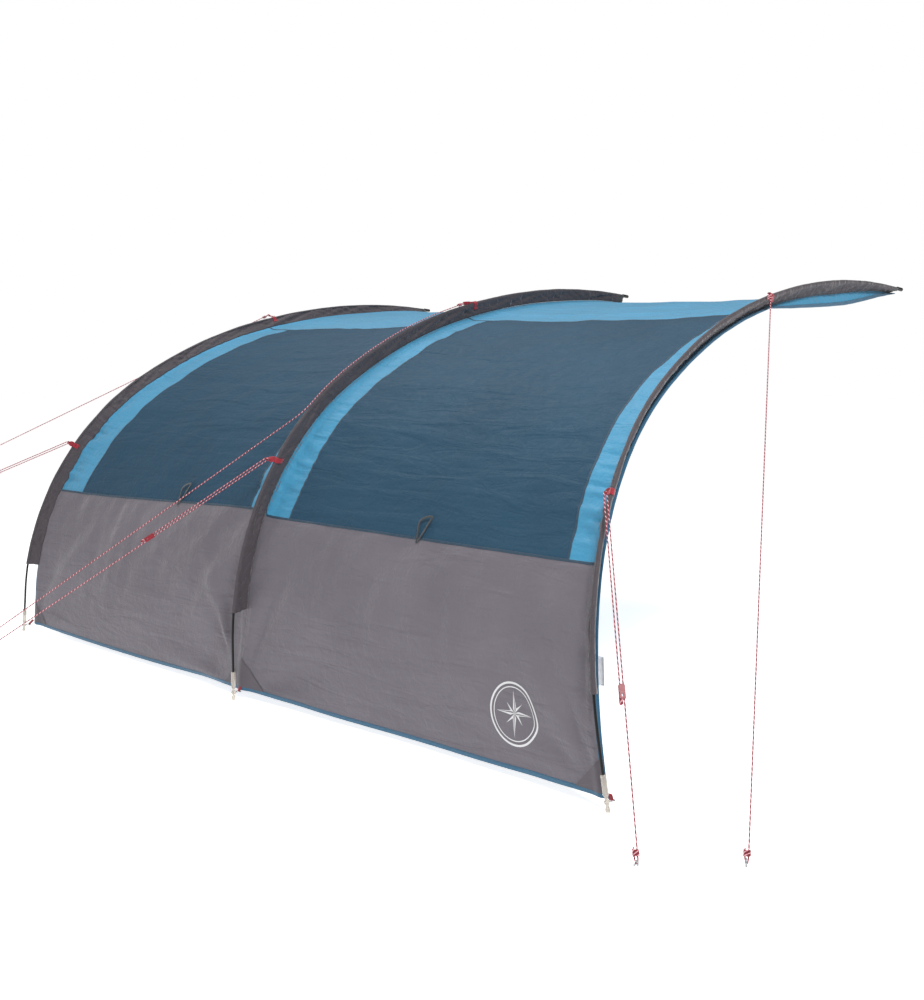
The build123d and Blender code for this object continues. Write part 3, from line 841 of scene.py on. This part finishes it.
def make_hem(name, start, length, material, kind):
    """A bound edge along the bay, centred on a length of the sheet."""
    work = Sewing()
    shares = marks([start, start + 1], [0.012 / BAY])
    path = [on_cloth(s, length, -CLOTH_THICK / 2 + tape_wave(s * BAY, length)) for s in shares]
    halves = [(on_cloth(s, length + TAPE_HALF) - on_cloth(s, length - TAPE_HALF)) / 2 for s in shares]
    work.band(path, halves, TAPE_THICK)
    piece = add_object(f"{name}_{kind}_tape", work.mesh(f"{name}_{kind}_tape"), material)
    face_outward(piece.data)
    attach(piece, "tent")
    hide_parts(f"{name}_bay_{kind}")
    print(piece.name, len(work.faces), "faces")


EDGE_PROBE = 0.012      # the sheet's slant at its edge is measured over this width


def edge_point(share, length, over, lift=0.0):
    """A point beyond the sheet's open edge, in line with the sheet there."""
    rim = on_cloth(share, length, lift)
    inner = on_cloth(share - math.copysign(EDGE_PROBE / BAY, share), length, lift)
    return rim + (rim - inner).normalized() * over


def make_edge(name, share):
    """The bound edge at an end hoop."""
    work = Sewing()
    lengths = marks([HEM_LOW, ROOF_END], [0.012])
    path, halves = [], []
    for length in lengths:
        wave = tape_wave(length, 3.0 + share)
        inner, outer = (edge_point(share, length, EDGE_OUT + way * EDGE_HALF, wave) for way in (-1, 1))
        path.append((inner + outer) / 2)
        halves.append((outer - inner) / 2)
    work.band(path, halves, TAPE_THICK * 0.8)
    piece = add_object(f"{name}_edge_tape", work.mesh(f"{name}_edge_tape"), BLUE_TAPE)
    face_outward(piece.data)
    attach(piece, "tent")
    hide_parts(f"{name}_edge_binding")
    print(piece.name, len(work.faces), "faces")


for bay, first in (("rear", -1.0), ("front", 0.0)):
    make_hem(bay, first, HEM_LOW + TAPE_HALF - 0.002, BLUE_TAPE, "hem")
    make_hem(bay, first, ROOF_END - TAPE_HALF, LIGHT_TAPE, "far_hem")
make_edge("rear", -1)
make_edge("front", 1)

# %% [markdown]
# ## Pole sleeves
#
# A sleeve is one strip of cloth folded round the pole and sewn to the sheet 6 to 8 cm inside it. It pulls
# its outer fold tight and the doubled part below hangs in slanting folds. The strip is a grid: one
# direction follows the hoop, the other goes up one side, round the pole and down the other side.

# %% Sleeves
POCKET_R = 0.0088
SLEEVE_TOP = HOOP_END - 0.042
FIN_STEPS, ROUND_STEPS = 8, 10
SLEEVE_THICK = 0.0008
SLEEVE_ROW = 0.008
NOSE = 0.28                     # this share of the strip goes round the pole
BLACK_END = 0.045               # the far end is bound in black
NOSE_TURN = math.radians(115)
STRIP_HALF = 0.085              # half the strip's width, for its threads


def sleeve_foot(share, length):
    """Where the fin is sewn to the sheet."""
    return on_cloth(share - math.copysign(RIDGE_AT / BAY, share) if share else 0.0, length, 0.0006)


def sleeve_point(share, around, length):
    """A point of the strip. around is -1 at the fin's foot on the rear side, and 1 on the front side."""
    side = -1 if around < 0 else 1
    seed = 11.0 + 7 * share
    mouth = 1 - smooth(0.0, 0.05, length - SLEEVE_START)
    far = smooth(3.2, SLEEVE_TOP, length)
    radius = POCKET_R * (1 + 0.25 * noise.noise(Vector((length * 7, seed, 1.0))) + 0.25 * mouth - 0.2 * far)
    if abs(around) < NOSE:
        angle = around / NOSE * NOSE_TURN
        swell = 1 + 0.06 * noise.noise(Vector((length * 40, angle, seed)))
        outward = radius * swell * math.cos(angle) - 0.001
        return on_hoop(share, length, outward, radius * swell * math.sin(angle))
    deep = (abs(around) - NOSE) / (1 - NOSE)
    belly = math.sin(math.pi * min(1.0, deep * 1.1)) ** 0.8 if deep > 0 else 0.0
    fold = noise.noise(Vector((length * 9 + deep * 2.2 * side, seed + side * 0.15, 3.0)))
    fine = noise.noise(Vector((length * 26 - deep * 3.0, seed + 4, 8.0)))
    lean = (0.0150 * fold + 0.0070 * fine) * belly
    neck = on_hoop(share, length, radius * math.cos(NOSE_TURN) - 0.001)
    foot = sleeve_foot(share, length)
    up_hoop = on_hoop(share, length + 0.01) - on_hoop(share, length - 0.01)
    out = up_hoop.cross(foot - neck).normalized()
    if out.x < 0:
        out = -out
    open_up = radius * math.sin(NOSE_TURN) * (1 - deep) ** 2.2 + 0.0016
    return neck.lerp(foot, deep) + out * (side * open_up + lean)


def make_sleeve(tag, share):
    fin_step = (1 - NOSE) / FIN_STEPS
    arounds = marks([-1, -NOSE, NOSE, 1], [fin_step, 2 * NOSE / ROUND_STEPS, fin_step])
    lengths = marks([SLEEVE_START, SLEEVE_TOP], [SLEEVE_ROW])
    work = Sewing()
    work.grid(arounds, lengths, lambda a, l: sleeve_point(share, a, l),
              lambda a, l: int(l > SLEEVE_TOP - BLACK_END), lambda a, l: (a * STRIP_HALF, l))
    mesh = work.mesh(f"{tag}_sleeve_cloth")
    piece = add_object(f"{tag}_sleeve_cloth", mesh, SLEEVE_CLOTH, BLACK_WEBBING)
    solidify(piece, SLEEVE_THICK)
    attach(piece, "tent")
    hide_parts(f"{tag}_sleeve")


for tag, share in (("rear", -1), ("mid", 0), ("front", 1)):
    make_sleeve(tag, share)

# %% [markdown]
# ## Guy tabs
#
# A tab is red webbing: one length clasps the sleeve from behind, and its ends run together into a
# folded loop that the line turns round. The clasp is a band round the sleeve's nose, and the loop is a
# band that narrows from the sleeve to the line, out and back.

# %% Tabs
TAB_WIDE, TAB_END, WEB_THICK = 0.0135, 0.0085, 0.0016
LOOP_OPEN = 0.0075


def make_tabs():
    work = Sewing()
    for share, length, centre, along, across in TABS:
        heading = (on_hoop(share, length + 0.01) - on_hoop(share, length - 0.01)).normalized()
        # the clasp, from one side of the fin over the nose to the other
        clasp = []
        for around in marks([-0.62, 0.62], [0.05]):
            skin = sleeve_point(share, around, length)
            core = on_hoop(share, length) if abs(around) < NOSE else \
                (skin + sleeve_point(share, -around, length)) / 2
            clasp.append(skin + (skin - core).normalized() * 0.0022)
        work.band(clasp, [heading * TAB_WIDE] * len(clasp), WEB_THICK)
        # the loop, out to the line and back, narrowing as it goes
        root = on_hoop(share, length, 0.012)
        bar = along.cross(across).normalized()
        if bar.dot(heading) < 0:
            bar = -bar
        tip = centre + along * 0.002
        path, halves = [], []
        for i in range(21):
            t = i / 10 if i <= 10 else (20 - i) / 10
            layer = 1 if i <= 10 else -1
            opening = LOOP_OPEN * math.sin(math.pi * min(1.0, t)) ** 0.6 if 0 < t < 1 else 0.0
            path.append(root.lerp(tip, t) + across * layer * opening)
            halves.append(heading.lerp(bar, t).normalized() * (TAB_WIDE + (TAB_END - TAB_WIDE) * t ** 0.7))
        work.band(path, halves, WEB_THICK)
    piece = add_object("guy_tab_webbing", work.mesh("guy_tab_webbing"), RED_WEBBING)
    face_outward(piece.data)
    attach(piece, "tent")
    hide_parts("guy_tabs")
    print("tabs", len(TABS), "with", len(work.faces), "faces")


make_tabs()

# %% [markdown]
# ## Foot webbing, cover loops and label
#
# Each foot is tied to the sheet's corner by a red loop through a steel ring. On the seam two black
# webbing loops hold the rolled window cover. A satin care label is sewn into the front edge.

# %% Small webbing pieces
RING_IN, RING_UP = 0.028, 0.035
WEB_UP = 0.060          # a red loop leaves the sheet at this height


def make_foot_webbing():
    work = Sewing()
    for share in (-1, 0, 1):
        side = Vector((1, 0, 0))
        path, halves = [], []
        for i in range(25):
            t = i / 12 if i <= 12 else (24 - i) / 12
            layer = 1 if i <= 12 else -1
            skin = 0.001 - cloth_offset(share, WEB_UP)
            across = skin + (RING_IN - skin) * t
            up = WEB_UP + (RING_UP - WEB_UP) * t
            gap = 0.0045 * math.sin(math.pi * t) ** 0.5 if 0 < t < 1 else 0.0
            path.append(place(share, across + layer * gap * 0.4, up + layer * gap))
            halves.append(side * (0.011 - 0.003 * t))
        work.band(path, halves, WEB_THICK)
    piece = add_object("foot_webbing_loops", work.mesh("foot_webbing_loops"), RED_WEBBING)
    face_outward(piece.data)
    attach(piece, "tent")
    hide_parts("foot_webbings")
    print("foot webbing", len(work.faces), "faces")


LOOP_OUTLINE = [(0.0, -0.020), (-0.002, 0.020), (-0.004, 0.066), (0.006, 0.088), (0.046, 0.106),
                (0.068, 0.102), (0.064, 0.086), (0.044, 0.050), (0.022, 0.012), (0.004, -0.016)]
LOOP_SHARES = (0.61 - 1, 0.502)


def make_cover_loops():
    work = Sewing()
    for share in LOOP_SHARES:
        outline = spline_points("cover_loop_guide", [Vector((x, y, 0)) for x, y in LOOP_OUTLINE], 8)
        path = [on_cloth(share + p.x / BAY, SEAM + p.y, 0.004 + 0.010 * smooth(0.0, 0.09, p.y))
                for p in outline]
        halves = []
        for i, point in enumerate(path):
            ahead = (path[min(i + 1, len(path) - 1)] - path[max(i - 1, 0)]).normalized()
            halves.append(ahead.cross(Vector((0, -0.8, 0.6))).normalized() * 0.0055)
        work.band(path, halves, WEB_THICK)
    piece = add_object("cover_tie_loops", work.mesh("cover_tie_loops"), BLACK_WEBBING)
    face_outward(piece.data)
    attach(piece, "tent")
    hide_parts("window_loops")
    print("cover loops", len(work.faces), "faces")


LABEL_LOW, LABEL_HIGH, LABEL_OUT = 0.435, 0.540, 0.022


def make_label():
    work = Sewing()
    path, halves = [], []
    for i in range(12):
        out = 0.002 + LABEL_OUT * i / 11
        curl = 0.006 * math.sin(math.pi * i / 11)
        low, high = (edge_point(1, at, out, -0.002 - curl) for at in (LABEL_LOW, LABEL_HIGH))
        path.append((low + high) / 2)
        halves.append((high - low) / 2)
    work.band(path, halves, 0.0006)
    piece = add_object("care_label", work.mesh("care_label"), LABEL)
    face_outward(piece.data)
    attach(piece, "tent")
    print("label is", round(1000 * (LABEL_HIGH - LABEL_LOW)), "mm tall")


make_foot_webbing()
make_cover_loops()
make_label()

# %% [markdown]
# ## Corner patches and printed badge
#
# The corners that carry the feet's pull are doubled with a patch of heavier cloth. The wall has a plain
# printed badge, a ring round an eight-pointed star, as any maker could use. Both are laid on the sheet's
# own surface, so they crease with it.

# %% Patches and badge
PATCH_WIDE, PATCH_TALL = 0.150, 0.130
BADGE_AT, BADGE_UP, BADGE_R = 0.790, 0.254, 0.120


def make_patches():
    work = Sewing()
    for corner, way in ((-1, 1), (0, -1), (0, 1), (1, -1)):
        def patch(a, b, corner=corner, way=way):
            return on_cloth(corner + way * a * PATCH_WIDE / BAY,
                            HEM_LOW + 0.014 + b * (1 - a) * PATCH_TALL, 0.0022)
        steps = [i / 20 for i in range(21)]
        work.grid(steps if way > 0 else steps[::-1], steps, patch,
                  uv_of=lambda a, b: (a * PATCH_WIDE, b * PATCH_TALL))
    piece = add_object("corner_patches", work.mesh("corner_patches"), PATCH_CLOTH)
    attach(piece, "tent")
    print("patches", len(work.faces), "faces")


def on_badge(x, y):
    return on_cloth(BADGE_AT + x / BAY, BADGE_UP + y, 0.0008)


def make_badge():
    work = Sewing()
    turns = [2 * math.pi * i / 96 for i in range(97)]
    for low, high in ((BADGE_R - 0.008, BADGE_R), (BADGE_R - 0.022, BADGE_R - 0.018)):
        work.grid(turns, [low, high], lambda a, r: on_badge(r * math.cos(a), r * math.sin(a)),
                  uv_of=lambda a, r: (r * math.cos(a), r * math.sin(a)))
    for i in range(8):
        point, reach = math.pi * i / 4, BADGE_R * (0.74 if i % 2 == 0 else 0.46)
        for side in (-1, 1):
            waist = point + side * math.pi / 8
            waist_r = BADGE_R * 0.17
            steps = [k / 8 for k in range(9)]

            def kite(a, b, point=point, reach=reach, waist=waist, waist_r=waist_r):
                edge_x = waist_r * math.cos(waist) * (1 - a) + reach * math.cos(point) * a
                edge_y = waist_r * math.sin(waist) * (1 - a) + reach * math.sin(point) * a
                mid_x, mid_y = reach * math.cos(point) * a, reach * math.sin(point) * a
                return on_badge(mid_x + (edge_x - mid_x) * b, mid_y + (edge_y - mid_y) * b)
            if side > 0:
                work.grid(steps, steps, kite, uv_of=lambda a, b: (a * 0.1, b * 0.1))
            elif i % 2 == 0:
                work.grid(steps, [0.62, 1.0], lambda a, b, k=kite: k(a, b),
                          uv_of=lambda a, b: (a * 0.1, b * 0.1))
    piece = add_object("printed_badge", work.mesh("printed_badge"), PRINT)
    for poly in piece.data.polygons:
        if poly.normal.y > 0:
            poly.flip()
    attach(piece, "tent")
    print("badge is", round(2000 * BADGE_R), "mm across")


make_patches()
make_badge()

# %% [markdown]
# ## Stitches
#
# Lockstitch runs along both sides of every seam and tape: one thread every few millimetres, sunk into the
# cloth at each hole. Geometry Nodes repeat one small bead of thread along the seam lines, from a length
# and a gap. Real stitches are 3 mm, and they are drawn 5 mm so that they show.

# %% Stitch tree
STITCH_LONG, STITCH_STEP, STITCH_THICK = 0.005, 0.0075, 0.0011


def stitch_tree(thread):
    tree = bpy.data.node_groups.new("rows_of_stitches", "GeometryNodeTree")
    face = tree.interface
    face.new_socket("Geometry", in_out="INPUT", socket_type="NodeSocketGeometry")
    sizes = {label: face.new_socket(label, in_out="INPUT", socket_type="NodeSocketFloat").identifier
             for label in ("Step", "Stitch length", "Thread thickness")}
    face.new_socket("Geometry", in_out="OUTPUT", socket_type="NodeSocketGeometry")
    given = node(tree, "NodeGroupInput").outputs
    line = node(tree, "GeometryNodeMeshToCurve", in0=given["Geometry"])
    points = node(tree, "GeometryNodeCurveToPoints", {"mode": "LENGTH"}, Curve=line.outputs[0],
                  Length=given["Step"])
    bead = node(tree, "GeometryNodeMeshUVSphere", Segments=5, Rings=3, Radius=0.5)
    size = node(tree, "ShaderNodeCombineXYZ", X=given["Thread thickness"], Y=given["Thread thickness"],
                Z=given["Stitch length"])
    aim = node(tree, "FunctionNodeAlignRotationToVector", {"axis": "Z"}, Vector=points.outputs["Tangent"])
    beads = node(tree, "GeometryNodeInstanceOnPoints", Points=points.outputs["Points"],
                 Instance=bead.outputs[0], Rotation=aim.outputs[0], Scale=size.outputs[0])
    real = node(tree, "GeometryNodeRealizeInstances", Geometry=beads.outputs[0])
    done = node(tree, "GeometryNodeSetMaterial", Geometry=real.outputs[0], Material=thread)
    node(tree, "NodeGroupOutput", Geometry=done.outputs[0])
    return tree, sizes


def seam_rows(name, start):
    """Lines of points on the bay that a needle follows."""
    shares = marks([start, start + 1], [COLUMN_STEP / BAY])
    sides = (start + BORDERS[name][0], start + 1 - BORDERS[name][1])
    inner = marks(sides, [COLUMN_STEP / BAY])
    lengths = marks([SEAM, WINDOW_TOP], [0.012])
    rows = [[on_cloth(s, length, lift) for s in shares] for length, lift in (
        (HEM_LOW + 2 * TAPE_HALF - 0.005, 0.0016), (SEAM - 0.004, 0.0019), (SEAM + 0.004, 0.0019),
        (ROOF_END - 2 * TAPE_HALF + 0.003, 0.0016))]
    rows += [[on_cloth(s, WINDOW_TOP + way * 0.004, 0.0019) for s in inner] for way in (-1, 1)]
    for share in sides:
        rows += [[on_cloth(share + way * 0.004 / BAY, l, 0.0019) for l in lengths] for way in (-1, 1)]
    return rows


def sleeve_rows(share):
    lengths = marks([SLEEVE_START, SLEEVE_TOP], [SLEEVE_ROW])
    return [[sleeve_point(share, around, l) + (sleeve_point(share, around, l)
                                               - sleeve_point(share, -around, l)).normalized() * 0.0006
             for l in lengths] for around in (-0.93, 0.93)]


def make_stitches(name, rows, tree, sizes):
    mesh = bpy.data.meshes.new(f"{name}_lines")
    verts, edges = [], []
    for row in rows:
        edges += [(len(verts) + i, len(verts) + i + 1) for i in range(len(row) - 1)]
        verts += row
    mesh.from_pydata(verts, edges, [])
    guide = add_object(f"{name}_lines", mesh)
    mod = guide.modifiers.new("stitches", "NODES")
    mod.node_group = tree
    given = {"Step": STITCH_STEP, "Stitch length": STITCH_LONG, "Thread thickness": STITCH_THICK}
    for label, value in given.items():
        mod[sizes[label]] = value
    view = bpy.context.evaluated_depsgraph_get()
    result = bpy.data.meshes.new_from_object(guide.evaluated_get(view), depsgraph=view)
    result.name = name
    bpy.data.objects.remove(guide)
    for poly in result.polygons:
        poly.use_smooth = True
    piece = add_object(name, result)
    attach(piece, "tent")
    print(name, len(result.polygons), "faces")


tree, sizes = stitch_tree(THREAD)
make_stitches("rear_bay_stitches", seam_rows("rear", -1.0), tree, sizes)
make_stitches("front_bay_stitches", seam_rows("front", 0.0), tree, sizes)
for tag, share in (("rear", -1), ("mid", 0), ("front", 1)):
    make_stitches(f"{tag}_sleeve_stitches", sleeve_rows(share), tree, sizes)

# %% [markdown]
# ## Hard parts
#
# Poles, ferrules, feet, caps, rings, runners and pegs come from the frame with their exact shapes, so
# they only need finishes. Pultruded fibreglass is black and fairly glossy, with a faint fine grain.
# The feet are moulded clear plastic. Steel is dull from its zinc.

# %% Finishes of hard parts
def moulded_material(name, hex_code, roughness, grain_mm, bump=0.15, **settings):
    material, tree, shader = new_material(name)
    place_on = node(tree, "ShaderNodeTexCoord").outputs["Object"]
    grain = node(tree, "ShaderNodeTexNoise", Vector=place_on, Scale=1000 / grain_mm, Detail=4.0)
    broad = node(tree, "ShaderNodeTexNoise", Vector=place_on, Scale=12.0, Detail=3.0)
    fade = node(tree, "ShaderNodeMapRange", Value=broad.outputs["Fac"], in1=0.3, in2=0.7,
                in3=0.85, in4=1.12)
    tone = node(tree, "ShaderNodeHueSaturation", Color=colour(hex_code), Value=fade.outputs[0])
    tree.links.new(tone.outputs[0], shader.inputs["Base Color"])
    rough = node(tree, "ShaderNodeMapRange", Value=grain.outputs["Fac"], in1=0.3, in2=0.7,
                 in3=roughness * 0.8, in4=min(1.0, roughness * 1.25))
    tree.links.new(rough.outputs[0], shader.inputs["Roughness"])
    lumps = node(tree, "ShaderNodeBump", Strength=bump, Distance=0.0004, Height=grain.outputs["Fac"])
    tree.links.new(lumps.outputs[0], shader.inputs["Normal"])
    for key, value in settings.items():
        shader.inputs[key.replace("_", " ")].default_value = value
    return material


FIBREGLASS = moulded_material("pultruded_black_fibreglass", "#0B0C0D", 0.42, 3.0, Specular_IOR_Level=0.3)
ZINC = moulded_material("zinc_plated_steel", "#B9BABC", 0.38, 2.0, Metallic=1.0)
PEG_STEEL = moulded_material("galvanised_peg_steel", "#A9ABAE", 0.45, 1.5, 0.3, Metallic=1.0)
CLEAR = moulded_material("clear_moulded_polycarbonate", "#D9D2C8", 0.22, 6.0, 0.1,
                         Transmission_Weight=0.55, IOR=1.58)
BLACK_PLASTIC = moulded_material("black_moulded_nylon", "#101112", 0.5, 1.2, 0.35)
RUNNER_PLASTIC = moulded_material("red_moulded_nylon", "#8A0F22", 0.42, 1.2, 0.3)

FINISHES = {"pole_wall": FIBREGLASS, "pole_shoulder": FIBREGLASS, "pole_roof": FIBREGLASS,
            "pole_far": FIBREGLASS, "tip_cap": BLACK_PLASTIC, "ferrules": ZINC, "feet": CLEAR,
            "rings": ZINC, "runner": RUNNER_PLASTIC, "pegs": PEG_STEEL}
finished = 0
for node_name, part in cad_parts.items():
    for ending, material in FINISHES.items():
        if node_name.endswith(ending):
            part.data.materials.clear()
            part.data.materials.append(material)
            finished += 1
print("finished", finished, "hard parts")
